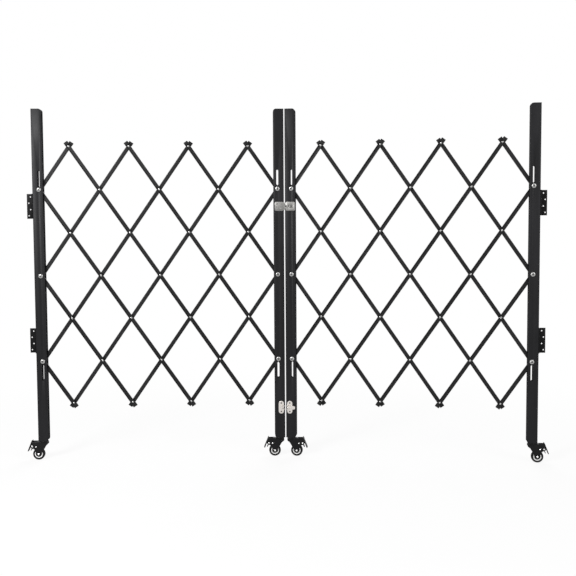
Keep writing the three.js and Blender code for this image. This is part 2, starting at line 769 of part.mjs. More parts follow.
function latchLever() {
  const plateBack = pivotY - lugRadius - runningGap;
  const plateFront = plateBack - leverWall;
  const neckEnd = pivotX + latchThrow + bailRadius + 2 * seatGap;
  const end = pivotX + leverLength;
  const wall = outline([
    [pivotX - lugRadius, pivotY + leverDrop],
    [neckEnd, pivotY + leverDrop],
    [end, plateBack],
    [end, plateFront],
    [pivotX - lugRadius, plateFront],
  ]);
  const walls = bothSides(wallInner, wallOuter, (low, high) =>
    plateZ(wall, latchZ + low, latchZ + high),
  );
  const neck = block(
    [pivotX - lugRadius, plateFront, latchZ - wallOuter],
    [neckEnd, plateBack, latchZ + wallOuter],
  );
  const handle = outline([
    [neckEnd, latchZ - leverWidth / 2],
    [end, latchZ - leverEndWidth / 2],
    [end, latchZ + leverEndWidth / 2],
    [neckEnd, latchZ + leverWidth / 2],
  ]);
  const wide = plateY(handle, plateFront, plateBack);
  const pin = barZ(pivotX, pivotY, latchZ - wallOuter, latchZ + wallOuter, latchPinRadius, boltSides);
  const holeEnd = wallOuter + cutOverrun;
  const radius = holeRadius(bailRadius, boltSides);
  const hole = barZ(joinX, joinY, latchZ - holeEnd, latchZ + holeEnd, radius, boltSides);
  return mesh('latch_lever', cut(join(...walls, neck, wide, pin), hole), nickelPlate);
}

// The bail, a closed loop of wire from the lever to the hook
const rodZ = wallOuter + seatGap + bailRadius;
const hookBar = fromLeft(latchPlateX, -latchFace - bailRise);

function latchBail() {
  const barEnd = rodZ + bailRadius;
  const ends = [[joinX, joinY], [hookBar.x, hookBar.y]];
  const bars = ends.map(([x, y]) =>
    barZ(x, y, latchZ - barEnd, latchZ + barEnd, bailRadius, boltSides),
  );
  const rods = [latchZ - rodZ, latchZ + rodZ].map((z) => {
    const [from, to] = ends.map(([x, y]) => new THREE.Vector3(x, y, z));
    return wire(from, to, bailRadius, boltSides);
  });
  return mesh('latch_bail', join(...bars, ...rods), nickelPlate);
}

// The catch on the left post. Its hook stands on the gap's side of the bail's bar and reaches over it.
function latchCatch() {
  const stem = latchPlateX - bailRadius - runningGap;
  const foot = latchThickness / 2 - latchFace;
  const lip = -latchFace - bailRise - bailRadius - hookRoom;
  const hook = outline([
    [stem - hookThickness, foot],
    [stem, foot],
    [stem, lip],
    [latchPlateX + hookLip, lip],
    [latchPlateX + hookLip, lip - hookThickness],
    [stem - hookThickness, lip - hookThickness],
  ]);
  const half = rodZ - bailRadius - 2 * seatGap;
  return mesh('latch_catch', join(latchPlate(), plateZ(hook, latchZ - half, latchZ + half)), nickelPlate);
}

leftLeaf.add(haspBase(), latchCatch());
rightLeaf.add(haspStrap(), haspStaplePlate(), haspEye(), latchBase(), latchLever(), latchBail());

// The whole barrier, moved so that the origin is at the middle of its outline from front to back
const barrier = new THREE.Group();
barrier.add(rightLeaf, leftLeaf);
const extent = new THREE.Box3().setFromObject(barrier, true);
barrier.position.y = -(extent.min.y + extent.max.y) / 2;

export default barrier;
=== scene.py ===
import json
import math
from collections import namedtuple
import bmesh
import bpy
from mathutils import Matrix, Vector


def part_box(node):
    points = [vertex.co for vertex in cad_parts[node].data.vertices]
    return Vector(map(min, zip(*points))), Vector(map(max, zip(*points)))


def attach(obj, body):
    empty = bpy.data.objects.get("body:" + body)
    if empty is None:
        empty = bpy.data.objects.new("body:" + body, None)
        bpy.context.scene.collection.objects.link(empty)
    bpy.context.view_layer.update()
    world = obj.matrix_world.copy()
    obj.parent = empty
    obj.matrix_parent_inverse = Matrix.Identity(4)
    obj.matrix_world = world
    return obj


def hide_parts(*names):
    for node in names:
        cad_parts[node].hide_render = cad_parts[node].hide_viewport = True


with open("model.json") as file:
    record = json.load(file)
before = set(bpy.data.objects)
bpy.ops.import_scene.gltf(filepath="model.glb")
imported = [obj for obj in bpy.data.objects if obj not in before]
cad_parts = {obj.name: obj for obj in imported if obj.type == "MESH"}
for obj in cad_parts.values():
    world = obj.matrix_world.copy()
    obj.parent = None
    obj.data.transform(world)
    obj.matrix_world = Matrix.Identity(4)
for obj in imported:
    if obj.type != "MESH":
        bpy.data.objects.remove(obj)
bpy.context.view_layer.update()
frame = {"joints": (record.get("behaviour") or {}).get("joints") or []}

# The four posts: channels folded from 2 mm steel and powder coated, open towards the lattice, with
# round free corners and a slot above and below for the bolts that slide. A plate welded across the
# foot carries the caster's kingpin.

# The barrier is two equal leaves that meet at a slight angle, the left one the mirror of the right.
# Every piece is drawn in millimetres in a leaf's own frame, with x from the middle post's bolts to the
# outer post's, y towards the back and z up from the floor, and is then set down where the leaf stands.
millimetres = 1000
joints = {joint["name"]: joint for joint in frame["joints"]}
middle_bolt = Vector(joints["right_fold"]["pos_m"])
leaf_axis = Vector(joints["right_fold"]["axis"])
second_crossing = Vector(joints["right_back_strip_4_pivot"]["pos_m"])
leaf_turn = math.atan2(leaf_axis.x, -leaf_axis.y)
middle_height = middle_bolt.z * millimetres
crossing_run = (second_crossing - middle_bolt).xy.length * millimetres / 2
crossing_rise = (second_crossing - middle_bolt).z * millimetres / 2
columns = 8
leaf_length = columns * crossing_run

mirrored = Matrix.Scale(-1, 4, (1, 0, 0))
leaf_foot = Matrix.Translation((middle_bolt.x, middle_bolt.y, 0))
right_leaf = leaf_foot @ Matrix.Rotation(leaf_turn, 4, "Z") @ Matrix.Scale(1 / millimetres, 4)
leaves = {"right": right_leaf, "left": mirrored @ right_leaf}
outer_end = Matrix.Translation((leaf_length, 0, 0)) @ mirrored

# Two ways to lay a drawing, which has an across, an up and a depth. Facing the front, its across runs
# along the leaf and its depth towards the front. Facing the side, its across runs towards the back and
# its depth along the leaf. Up stays up in both.
facing_front = Matrix.Rotation(math.pi / 2, 4, "X")
facing_side = Matrix(((0, 0, 1, 0), (1, 0, 0, 0), (0, 1, 0, 0), (0, 0, 0, 1)))


class Field:
    """A number, colour or vector that changes over a surface, as a socket of a look's nodes."""

    def __init__(self, finish, socket):
        self.finish = finish
        self.socket = socket

    def __add__(self, other):
        return self.finish.maths("ADD", self, other)

    def __mul__(self, other):
        return self.finish.maths("MULTIPLY", self, other)

    __radd__ = __add__
    __rmul__ = __mul__


class Finish:
    """A look made of nodes: a material or the light of the world. The slot it is given, one of the
    record's, is kept but not used.
    """

    def __init__(self, name, slot=None, world=False):
        self.slot = slot
        self.holder = bpy.data.worlds.new(name) if world else bpy.data.materials.new(name)
        self.holder.use_nodes = True
        self.tree = self.holder.node_tree
        self.shader = self.tree.nodes["Background" if world else "Principled BSDF"]

    @property
    def place(self):
        return self.node("ShaderNodeTexCoord", {}, {}, "Object")

    def feed(self, socket, value):
        if isinstance(value, Field):
            self.tree.links.new(value.socket, socket)
        else:
            socket.default_value = value

    def node(self, kind, settings, sockets, output=0):
        made = self.tree.nodes.new(kind)
        for setting, value in settings.items():
            if setting == "stops":
                for stop, (position, grey) in zip(made.color_ramp.elements, value):
                    stop.position = position
                    stop.color = (grey, grey, grey, 1)
            else:
                setattr(made, setting, value)
        for socket, value in sockets.items():
            self.feed(made.inputs[socket], value)
        return Field(self, made.outputs[output])

    def maths(self, operation, *values):
        return self.node("ShaderNodeMath", {"operation": operation}, dict(enumerate(values)))

    def noise(self, scale, detail=2, place=None):
        sockets = {"Vector": place or self.place, "Scale": scale, "Detail": detail}
        return self.node("ShaderNodeTexNoise", {}, sockets, "Fac")

    def stretched(self, shares):
        sockets = {0: self.place, 1: shares}
        return self.node("ShaderNodeVectorMath", {"operation": "MULTIPLY"}, sockets)

    def steps(self, value, *stops):
        return self.node("ShaderNodeValToRGB", {"stops": stops}, {"Fac": value})

    def colours(self, share, low, high):
        sockets = {"Factor": share, 6: (*low, 1), 7: (*high, 1)}
        return self.node("ShaderNodeMix", {"data_type": "RGBA"}, sockets, 2)

    def relief(self, height, depth, strength):
        sockets = {"Height": height, "Distance": depth, "Strength": strength}
        return self.node("ShaderNodeBump", {}, sockets)

    def surface(self, **sockets):
        for name, value in sockets.items():
            self.feed(self.shader.inputs[name.replace("_", " ")], value)


def powder_coat(name, slot, dark, light, gloss, mirror):
    """Baked powder coat: a fine orange peel, a little dust, and gloss that wanders along the piece."""
    coat = Finish(name, slot)
    peel = coat.noise(620, 3)
    dust = coat.steps(coat.noise(9, 5, coat.stretched((1, 1, 0.35))), (0.42, 0), (0.72, 1))
    specks = coat.steps(coat.noise(1500), (0.66, 0), (0.74, 1))
    coat.surface(
        Base_Color=coat.colours(dust * 0.6 + specks * 0.25, dark, light),
        Roughness=gloss + dust * 0.12 + coat.noise(24) * 0.08,
        Normal=coat.relief(peel, 0.00006, 0.6),
        Specular_IOR_Level=mirror,
    )
    return coat


def rounded(corners, steps=3):
    """The points of an outline whose corners, given as across, up and radius, are rounded."""
    points = []
    for index, (across, up, radius) in enumerate(corners):
        here = Vector((across, up))
        if radius == 0:
            points.append(here)
            continue
        before = (Vector(corners[index - 1][:2]) - here).normalized()
        after = (Vector(corners[(index + 1) % len(corners)][:2]) - here).normalized()
        half = before.angle(after) / 2
        centre = here + (before + after).normalized() * (radius / math.sin(half))
        first = here + before * (radius / math.tan(half)) - centre
        last = here + after * (radius / math.tan(half)) - centre
        sweep = math.atan2(first.cross(last), first.dot(last))
        for step in range(steps + 1):
            points.append(centre + Matrix.Rotation(sweep * step / steps, 2) @ first)
    return points


def oblong(left, right, half, left_radius=0, right_radius=0):
    """An outline from left to right that reaches as far down as up, with its corners rounded."""
    return rounded([(left, -half, left_radius), (right, -half, right_radius),
                    (right, half, right_radius), (left, half, left_radius)])


def round_ended(first, last, radius):
    """An outline with round ends, from one end's centre to the other's."""
    start, end = Vector(first), Vector(last)
    along = end - start
    heading = math.atan2(along.y, along.x)
    steps = 8
    points = []
    for centre, turn in ((end, -0.5), (start, 0.5)):
        for step in range(steps + 1):
            angle = heading + (turn + step / steps) * math.pi
            points.append(centre + radius * Vector((math.cos(angle), math.sin(angle))))
    return points


def finished_mesh(shape, lay):
    """The mesh of a shape, laid the way it faces, with its faces turned outwards."""
    bmesh.ops.recalc_face_normals(shape, faces=shape.faces)
    mesh = bpy.data.meshes.new("blank")
    shape.to_mesh(mesh)
    shape.free()
    mesh.transform(lay)
    return mesh


def swept(outline, near, far, lay=Matrix()):
    """A closed outline drawn out from one depth to another."""
    shape = bmesh.new()
    low_end, high_end = [[shape.verts.new((*point, depth)) for point in outline]
                         for depth in (near, far)]
    for index in range(len(outline)):
        shape.faces.new((low_end[index - 1], low_end[index], high_end[index], high_end[index - 1]))
    shape.faces.new(low_end)
    shape.faces.new(high_end)
    return finished_mesh(shape, lay)


def joined(*meshes):
    """Several meshes as one, in a new mesh. The given ones stay as they are."""
    shape = bmesh.new()
    for mesh in meshes:
        shape.from_mesh(mesh)
    whole = bpy.data.meshes.new("blank")
    shape.to_mesh(whole)
    shape.free()
    return whole


def machined(mesh, cutters=(), within=(), edge=0, edge_steps=2):
    """The mesh kept within some meshes, with others cut out of it, and its sharp edges eased."""
    blank = bpy.data.objects.new("blank", mesh)
    tools = []
    for operation, shapes in (("INTERSECT", within), ("DIFFERENCE", cutters)):
        for shape in shapes:
            tool = bpy.data.objects.new("tool", shape)
            cut = blank.modifiers.new("cut", "BOOLEAN")
            cut.operation = operation
            cut.solver = "EXACT"
            cut.object = tool
            tools.append(tool)
    if edge:
        eased = blank.modifiers.new("eased", "BEVEL")
        eased.width = edge
        eased.segments = edge_steps
        eased.limit_method = "ANGLE"
        eased.angle_limit = math.radians(40)
    for thing in (blank, *tools):
        bpy.context.scene.collection.objects.link(thing)
    state = bpy.context.evaluated_depsgraph_get()
    made = bpy.data.meshes.new_from_object(blank.evaluated_get(state))
    for thing in (blank, *tools):
        bpy.data.objects.remove(thing)
    return made


def set_down(name, mesh, place, finish, body, *nodes):
    """One real piece of the barrier: its drawn mesh brought to its place, with its finish."""
    mesh = mesh.copy()
    mesh.name = name
    mesh.transform(place)
    if place.determinant() < 0:
        mesh.flip_normals()
    mesh.materials.clear()
    mesh.materials.append(finish.holder)
    mesh.shade_smooth()
    mesh.set_sharp_from_angle(angle=math.radians(35))
    made = bpy.data.objects.new(name, mesh)
    bpy.context.scene.collection.objects.link(made)
    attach(made, body)
    if nodes:
        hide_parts(*nodes)


post_finish = powder_coat("post_powder_coat", "post_paint", (0.005, 0.005, 0.006),
                          (0.014, 0.014, 0.016), gloss=0.36, mirror=0.19)
post_half = 15
post_wall = 2
post_inner = post_half - post_wall
web_x = -26.474
edge_x = 16.5
post_bottom = 79.82
post_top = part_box("right_middle_post")[1].z * millimetres
corner_radius = 12
slot_radius = 4.4
slot_travel = 75.46
pressed_edge = 0.35
through = 25
spare = 5

post_section = rounded([
    (web_x, -post_half, 3.2), (edge_x, -post_half, 0.4), (edge_x, -post_inner, 0.4),
    (web_x + post_wall, -post_inner, 1.2), (web_x + post_wall, post_inner, 1.2),
    (edge_x, post_inner, 0.4), (edge_x, post_half, 0.4), (web_x, post_half, 3.2),
], 4)
post_side = rounded([
    (web_x - 1, post_bottom, 0), (edge_x, post_bottom, corner_radius),
    (edge_x, post_top, corner_radius), (web_x - 1, post_top, 0),
], 8)
slots = []
for direction in (1, -1):
    open_height = middle_height + 2 * direction * crossing_rise
    folded_height = open_height + direction * slot_travel
    slot_line = round_ended((0, open_height), (0, folded_height), slot_radius)
    slots.append(swept(slot_line, -through, through, facing_front))
post_bar = machined(
    swept(post_section, post_bottom - spare, post_top + spare),
    cutters=slots,
    within=[swept(post_side, -through, through, facing_front)],
    edge=pressed_edge,
)
foot_line = oblong(web_x + 1, 4.5, 14, 0, 3)
foot_plate = machined(swept(foot_line, post_bottom, post_bottom + 3), edge=0.3)
post_channel = joined(post_bar, foot_plate)
for hand, leaf in leaves.items():
    for station, end in (("middle", Matrix()), ("outer", outer_end)):
        post = f"{hand}_{station}_post"
        body = "middle_posts" if station == "middle" else post
        set_down(post + "_channel", post_channel, leaf @ end, post_finish, body, post)

# The bolts of the posts, all zinc plated: button heads with a hex socket in front, hex nuts behind, and
# a washer and two spacing sleeves between strips and flanges. One stays put at the middle of each post.
# The kingpin stands in the foot plate, with a nut above it and a head below that carries the caster.


def turned(profile, sides=24, lay=Matrix(), closed=False):
    """A piece turned on its depth axis, from its radius and depth at each step along it."""
    shape = bmesh.new()
    rings = []
    for radius, depth in profile:
        if radius == 0:
            rings.append([shape.verts.new((0, 0, depth))])
            continue
        angles = [2 * math.pi * (side + 0.5) / sides for side in range(sides)]
        ring = [(radius * math.cos(angle), radius * math.sin(angle), depth) for angle in angles]
        rings.append([shape.verts.new(corner) for corner in ring])
    if closed:
        rings.append(rings[0])
    for low, high in zip(rings, rings[1:]):
        for side in range(sides):
            following = (side + 1) % sides
            steps = ((low, side), (low, following), (high, following), (high, side))
            corners = [ring[at % len(ring)] for ring, at in steps]
            shape.faces.new(list(dict.fromkeys(corners)))
    return finished_mesh(shape, lay)


def moved(mesh, x=0, y=0, z=0):
    """A copy of the mesh in another place."""
    copy = mesh.copy()
    copy.transform(Matrix.Translation((x, y, z)))
    return copy


zinc_finish = Finish("bright_zinc", "zinc_plate")
zinc_cloud = zinc_finish.noise(160, 3)
zinc_finish.surface(
    Base_Color=zinc_finish.colours(zinc_cloud, (0.30, 0.30, 0.297), (0.46, 0.46, 0.452)),
    Metallic=1.0,
    Roughness=zinc_cloud * 0.16 + 0.2,
    Normal=zinc_finish.relief(zinc_finish.noise(1400), 0.00002, 0.5),
)
# Painted shade: a dark, rough finish for a plate in the bottom of each hex socket, which stands in for the
# shade deep in the socket
socket_shade_finish = Finish("socket_dark", "zinc_plate")
socket_shade_finish.surface(
    Base_Color=socket_shade_finish.colours(socket_shade_finish.noise(900), (0.07, 0.07, 0.07), (0.13, 0.13, 0.128)),
    Roughness=socket_shade_finish.noise(700) * 0.2 + 0.55,
    Normal=socket_shade_finish.relief(socket_shade_finish.noise(2200), 0.00003, 0.6),
    Specular_IOR_Level=0.2,
)
socket_radius = 4.4
hexagon = []
for corner in range(6):
    angle = corner * math.pi / 3
    hexagon.append(Vector((socket_radius * math.cos(angle), socket_radius * math.sin(angle))))
button = turned([(0, 15.06), (9.6, 15.06), (10, 15.4), (9.9, 16.4), (9.2, 17.8), (7.8, 19.1), (6.2, 19.9),
                 (4.6, 20.25), (0, 20.3)], 40)
button = machined(button, cutters=[swept(hexagon, 15.8, 22)], edge=0.15, edge_steps=1)
# The plate of painted shade that fills the bottom of a bolt's hex socket
socket_shade_plate = swept([point * 0.99 for point in hexagon], 15.7, 17.2, facing_front)
shank = turned([(0, -21.3), (3.3, -21.3), (3.9, -20.8), (3.9, -12.7), (6, -12.7), (6, -3.1), (3.9, -3.1),
                (3.9, -1.2), (5.5, -1.2), (5.5, 1.4), (3.9, 1.4), (3.9, 3.05), (6, 3.05), (6, 12.7),
                (3.9, 12.7), (3.9, 15.2), (0, 15.2)], 28)
nut = turned([(3.9, -15.2), (7.2, -15.2), (8, -15.7), (8, -20.3), (7.2, -20.9), (3.9, -20.9)], 6)
post_bolt = joined(button, shank, nut)
post_bolt.transform(facing_front)
kingpin = turned([(0, 68.25), (6.4, 68.25), (7, 68.9), (7, 70.6), (6.4, 71.2), (4, 71.2), (4, 84.6),
                  (3.4, 85.2), (0, 85.2)])
kingpin_nut = turned([(4, 82.82), (6.6, 82.82), (7.4, 83.3), (7.4, 87.2), (6.6, 87.8), (3.9, 87.8)], 6)
kingpin_set = joined(kingpin, kingpin_nut)
kingpin_x = (edge_x + web_x) / 2
for hand, leaf in leaves.items():
    for station, x, pin_x in (("middle", 0, kingpin_x), ("outer", leaf_length, leaf_length - kingpin_x)):
        name = f"{hand}_{station}"
        body = "middle_posts" if station == "middle" else name + "_post"
        held_bolt = moved(post_bolt, x, 0, middle_height)
        # Each bolt gets its plate of painted shade in the socket
        held_socket_shade = moved(socket_shade_plate, x, 0, middle_height)
        set_down(name + "_middle_bolt", held_bolt, leaf, zinc_finish, body)
        set_down(name + "_middle_bolt_socket", held_socket_shade, leaf, socket_shade_finish, body)
        set_down(name + "_kingpin", moved(kingpin_set, pin_x), leaf, zinc_finish, body)

# The lattice strips: small channels rolled from 1.5 mm steel and powder coated. The front strips rise
# along a leaf and the back ones fall, webs together, with their open sides away from each other.
strip_finish = powder_coat("strip_powder_coat", "strip_paint", (0.004, 0.004, 0.0043),
                           (0.013, 0.013, 0.014), gloss=0.36, mirror=0.22)
rows = 6
strip_half = 8
strip_wall = 1.5
strip_inner = strip_half - strip_wall
layer_near = 1.5
layer_far = 8.5
overhang = 19
rivet_bore = 3.4
pitch = math.hypot(crossing_run, crossing_rise)
strip_angle = math.atan2(crossing_rise, crossing_run)
strip_section = rounded([
    (layer_near, -strip_half, 1.9), (layer_far, -strip_half, 0.4), (layer_far, -strip_inner, 0.4),
    (layer_near + strip_wall, -strip_inner, 0.6), (layer_near + strip_wall, strip_inner, 0.6),
    (layer_far, strip_inner, 0.4), (layer_far, strip_half, 0.4), (layer_near, strip_half, 1.9),
])


def both_ways(*half):
    """The profile of a turned piece that is alike at both ends, from the points of one half."""
    return [(radius, -depth) for radius, depth in half] + list(reversed(half))


# A strip starts at a column and a row of the crossings, with the rows counted from the top, and goes
# one row on at each column. It is bored for the pins of other pieces, and holds its own.
Strip = namedtuple("Strip", "name place rivet_spots bolt_spots free_ends")
strips = []
for hand, leaf in leaves.items():
    for layer, number in [(layer, number) for layer in ("front", "back") for number in range(1, 8)]:
        name = f"{hand}_{layer}_strip_{number}"
        diagonal = 2 * number - 1
        column = max(0, diagonal - rows)
        steps = min(columns, diagonal) - column
        length = steps * pitch
        row = diagonal - column if layer == "front" else column + rows - diagonal
        row_step = -1 if layer == "front" else 1
        start_height = middle_height + (rows / 2 - row) * crossing_rise
        start = Matrix.Translation((column * crossing_run, 0, start_height))
        place = leaf @ start @ Matrix.Rotation(row_step * strip_angle, 4, "Y")
        side = Matrix.Scale(row_step, 4, (0, 1, 0)) @ facing_side
        bores = []
        rivet_spots = []
        bolt_spots = []
        for pivot in range(steps + 1):
            spot = pivot * pitch
            at_post = column + pivot in (0, columns)
            at_middle = row + row_step * pivot == rows / 2
            if layer == "back" or (at_post and at_middle):
                radius = slot_radius if at_post else rivet_bore
                bore = turned(both_ways((0, 12), (radius, 12)), 16, facing_front)
                bores.append(moved(bore, spot))
            elif at_post:
                bolt_spots.append(spot)
            else:
                rivet_spots.append(spot)
        bar = swept(strip_section, -overhang, length + overhang, side)
        if row_step < 0:
            bar.flip_normals()
        if bores:
            bar = machined(bar, cutters=[joined(*bores)])
        set_down(name + "_channel", bar, place, strip_finish, name, name)
        free_ends = []
        if row in (0, rows):
            free_ends.append(Matrix.Translation((-overhang, 0, 0)) @ mirrored @ side)
        if row + row_step * steps in (0, rows):
            free_ends.append(Matrix.Translation((length + overhang, 0, 0)) @ side)
        strips.append(Strip(name, place, rivet_spots, bolt_spots, free_ends))

# The caps: boots moulded of black plastic, pressed over the strip ends that stand free along the top
# and the bottom of the lattice
cap_finish = Finish("cap_plastic", "strip_paint")
cap_finish.surface(
    Base_Color=cap_finish.colours(cap_finish.noise(60), (0.004, 0.004, 0.004), (0.009, 0.009, 0.009)),
    Roughness=cap_finish.noise(300) * 0.12 + 0.5,
    Normal=cap_finish.relief(cap_finish.noise(2400), 0.00004, 0.7),
    Specular_IOR_Level=0.2,
)
cap = machined(swept(oblong(0.4, 9.6, 9.1, 0.5, 1.6), -13, 1.6), edge=1.4, edge_steps=3)
for strip in strips:
    boots = []
    for end in strip.free_ends:
        boot = cap.copy()
        boot.transform(end)
        if end.determinant() < 0:
            boot.flip_normals()
        boots.append(boot)
    if boots:
        set_down(strip.name + "_caps", joined(*boots), strip.place, cap_finish, strip.name)

# The rivets, one at each crossing: semi-tubular, zinc plated, with a domed head in the front strip's
# channel, a washer between the two strips and a tail rolled over behind. Above and below in a post, a
# bolt like the post's middle one takes the rivet's place and slides in the slot.
rivet = turned([(0, -3.9), (1.5, -4), (2.1, -5), (3, -5.3), (4, -4.9), (4.5, -4), (4.3, -3.1), (2.9, -3.1),
                (2.9, -1.25), (5.5, -1.25), (5.5, 1.45), (2.9, 1.45), (2.9, 3.05), (4.8, 3.05), (5, 3.4),
                (4.7, 4.1), (3.9, 4.8), (2.5, 5.3), (0, 5.5)], lay=facing_front)
for strip in strips:
    if strip.rivet_spots:
        studs = joined(*[moved(rivet, spot) for spot in strip.rivet_spots])
        set_down(strip.name + "_rivets", studs, strip.place, zinc_finish, strip.name)
    if strip.bolt_spots:
        bolts = joined(*[moved(post_bolt, spot) for spot in strip.bolt_spots])
        # The sliding bolts, each with a plate of painted shade in its socket
        sockets = joined(*[moved(socket_shade_plate, spot) for spot in strip.bolt_spots])
        set_down(strip.name + "_sliding_bolt", bolts, strip.place, zinc_finish, strip.name)
        set_down(strip.name + "_bolt_socket", sockets, strip.place, socket_shade_finish, strip.name)

# The wall hinges: two butt hinges of black coated steel on each outer post. One leaf is screwed to the
# post's web, and the other swings on the pin and waits for its own four screws in a wall.
black_coat = ((0.003, 0.003, 0.0034), (0.010, 0.010, 0.0102))
hinge_finish = powder_coat("hinge_black", "hinge_paint", *black_coat, gloss=0.38, mirror=0.11)
seat_gap = 0.3
hinge_length = 102
hinge_width = 25
hinge_sheet = 2
hinge_radius = 4.2
hinge_pin = 2.4
hinge_seat = web_x - seat_gap
hinge_x = hinge_seat - hinge_radius
hinge_y = post_half - hinge_radius
hinge_room = hinge_radius + seat_gap
hinge_third = hinge_length / 3

# The screws' places, as shares of a hinge leaf's width from the pin and of its length from below
hinge_holes = [(0.7, 0.12), (0.42, 0.37), (0.7, 0.63), (0.42, 0.88)]
cross_arm = swept(oblong(-0.45, 0.45, 2.1, 0.3, 0.3), 0.2, 3)
cross_bar = cross_arm.copy()
cross_bar.transform(Matrix.Rotation(math.pi / 2, 4, "Z"))
screw_head = turned([(2.6, -4.6), (2.6, -0.6), (4.5, -0.2), (4.4, 0.25), (3.4, 0.5), (0, 0.6)])
screw_head = machined(screw_head, cutters=[cross_arm, cross_bar])
screw_head.transform(Matrix.Rotation(-math.pi / 2, 4, "Y"))
hinge_screws = [
    moved(screw_head, hinge_seat - hinge_sheet, hinge_y - across * hinge_width, up * hinge_length)
    for across, up in hinge_holes
]


def knuckle(low, high, radius, pin_radius):
    """A rolled knuckle, with the pin's end showing in it."""
    end = [(0, 0.1), (pin_radius - 0.2, 0.1), (pin_radius, 0.5), (pin_radius + 0.25, 0),
           (radius - 0.25, 0), (radius, 0.3)]
    low_end = [(across, low + inset) for across, inset in end]
    high_end = [(across, high - inset) for across, inset in reversed(end)]
    return turned(low_end + high_end, 28)


leaf_far_y = hinge_y - hinge_width
post_leaf_line = [
    (leaf_far_y, 0), (hinge_y, 0), (hinge_y, hinge_third), (hinge_y - hinge_room, hinge_third),
    (hinge_y - hinge_room, 2 * hinge_third), (hinge_y, 2 * hinge_third), (hinge_y, hinge_length),
    (leaf_far_y, hinge_length),
]
post_leaf = machined(swept(post_leaf_line, hinge_seat - hinge_sheet, hinge_seat, facing_side), edge=0.3)
pin_knuckles = [moved(knuckle(low, low + hinge_third, hinge_radius, hinge_pin), hinge_x, hinge_y)
                for low in (0, 2 * hinge_third)]
post_leaf = joined(post_leaf, *pin_knuckles, *hinge_screws)

wall_far_x = hinge_x - hinge_width
wall_near_x = hinge_x - hinge_room
wall_back = -hinge_y - hinge_radius
turning_low = hinge_third + seat_gap
turning_high = 2 * hinge_third - seat_gap
wall_leaf_line = [
    (wall_far_x, 0), (wall_near_x, 0), (wall_near_x, turning_low), (hinge_x, turning_low),
    (hinge_x, turning_high), (wall_near_x, turning_high), (wall_near_x, hinge_length),
    (wall_far_x, hinge_length),
]
wall_leaf = machined(swept(wall_leaf_line, wall_back, wall_back + hinge_sheet, facing_front), edge=0.3)
sink = turned([(0, wall_back - 1), (2.6, wall_back - 1), (2.6, wall_back + 0.7), (4.4, wall_back + 2.1),
               (4.4, wall_back + 4), (0, wall_back + 4)], 20, facing_front)
sinks = [moved(sink, hinge_x - across * hinge_width, 0, up * hinge_length) for across, up in hinge_holes]
wall_leaf = machined(wall_leaf, cutters=[joined(*sinks)])
turning_knuckle = knuckle(turning_low, turning_high, hinge_radius, hinge_pin)
wall_leaf = joined(wall_leaf, moved(turning_knuckle, hinge_x, hinge_y))
for hand, leaf in leaves.items():
    for level, rise in (("upper", 287), ("lower", -269)):
        low = Matrix.Translation((0, 0, middle_height + rise - hinge_length / 2))
        name = f"{hand}_{level}_hinge"
        spot = leaf @ outer_end @ low
        post_body = f"{hand}_outer_post"
        set_down(name + "_fixed_leaf", post_leaf, spot, hinge_finish, post_body, name + "_post_leaf")
        wall_body = name + "_wall_leaf"
        set_down(name + "_swinging_leaf", wall_leaf, spot, hinge_finish, wall_body, wall_body)

# The caster forks: pressed from one steel sheet, black coated, with a ball race on top that turns on
# the kingpin, and two cheeks that carry the axle
fork_finish = powder_coat("caster_black", "caster_paint", *black_coat, gloss=0.25, mirror=0.17)
trail = 22
axle_z = 24.52
wheel_radius = 25
crown_low = 71.52
cheek_inner = 11
cheek_outer = 13.2
bridge_top = 77.52
bridge_low = bridge_top - 2.2
cheek_low = 8


def from_axle(across, up, radius=0):
    """A corner of an outline, given by shares of the wheel's radius from the axle."""
    return (trail + across * wheel_radius, axle_z + up * wheel_radius, radius)


cheek_line = rounded([
    (-17, bridge_top + 2, 0), (-17, 66.5, 2.5), (-6.5, 58, 9), (1, 45, 9),
    from_axle(-0.36, -0.03, 5), from_axle(0, -0.35, 7), from_axle(0.32, -0.11, 4),
    from_axle(0.48, 0.37, 12), from_axle(0.64, 0.85, 3), from_axle(1.2, 1.01, 3),
    from_axle(1.36, 1.25, 2), (52, bridge_top + 2, 0),
], 4)
fork_section = rounded([
    (-cheek_outer, cheek_low, 0), (-cheek_inner, cheek_low, 0), (-cheek_inner, bridge_low, 1.4),
    (cheek_inner, bridge_low, 1.4), (cheek_inner, cheek_low, 0), (cheek_outer, cheek_low, 0),
    (cheek_outer, bridge_top, 3.4), (-cheek_outer, bridge_top, 3.4),
], 4)
room_half = cheek_inner + 0.01
pedal_room = swept([(-room_half, 40), (room_half, 40), (room_half, 90), (-room_half, 90)],
                   trail + 6, 70, facing_side)
fork_sheet = machined(
    swept(fork_section, -30, 70, facing_side),
    cutters=[pedal_room],
    within=[swept(cheek_line, -through, through, facing_front)],
    edge=pressed_edge,
)
race = turned([(0, 0), (12, 0), (15.6, 0.5), (16.8, 1.6), (17, 2.6), (16.4, 3.3), (15.2, 3.6), (15.2, 4.3),
               (16.4, 4.6), (17, 5.3), (17, 6.8), (16.4, 7.7), (15.4, 8), (0, 8)], 40)
fork = joined(fork_sheet, moved(race, 0, 0, crown_low))
casters = []
for hand, leaf in leaves.items():
    for station, x in (("middle", kingpin_x), ("outer", leaf_length - kingpin_x)):
        casters.append((f"{hand}_{station}", leaf @ Matrix.Translation((x, 0, 0))))
for corner, spot in casters:
    fork_body = corner + "_caster_fork"
    set_down(fork_body + "_sheet", fork, spot, fork_finish, fork_body, fork_body)

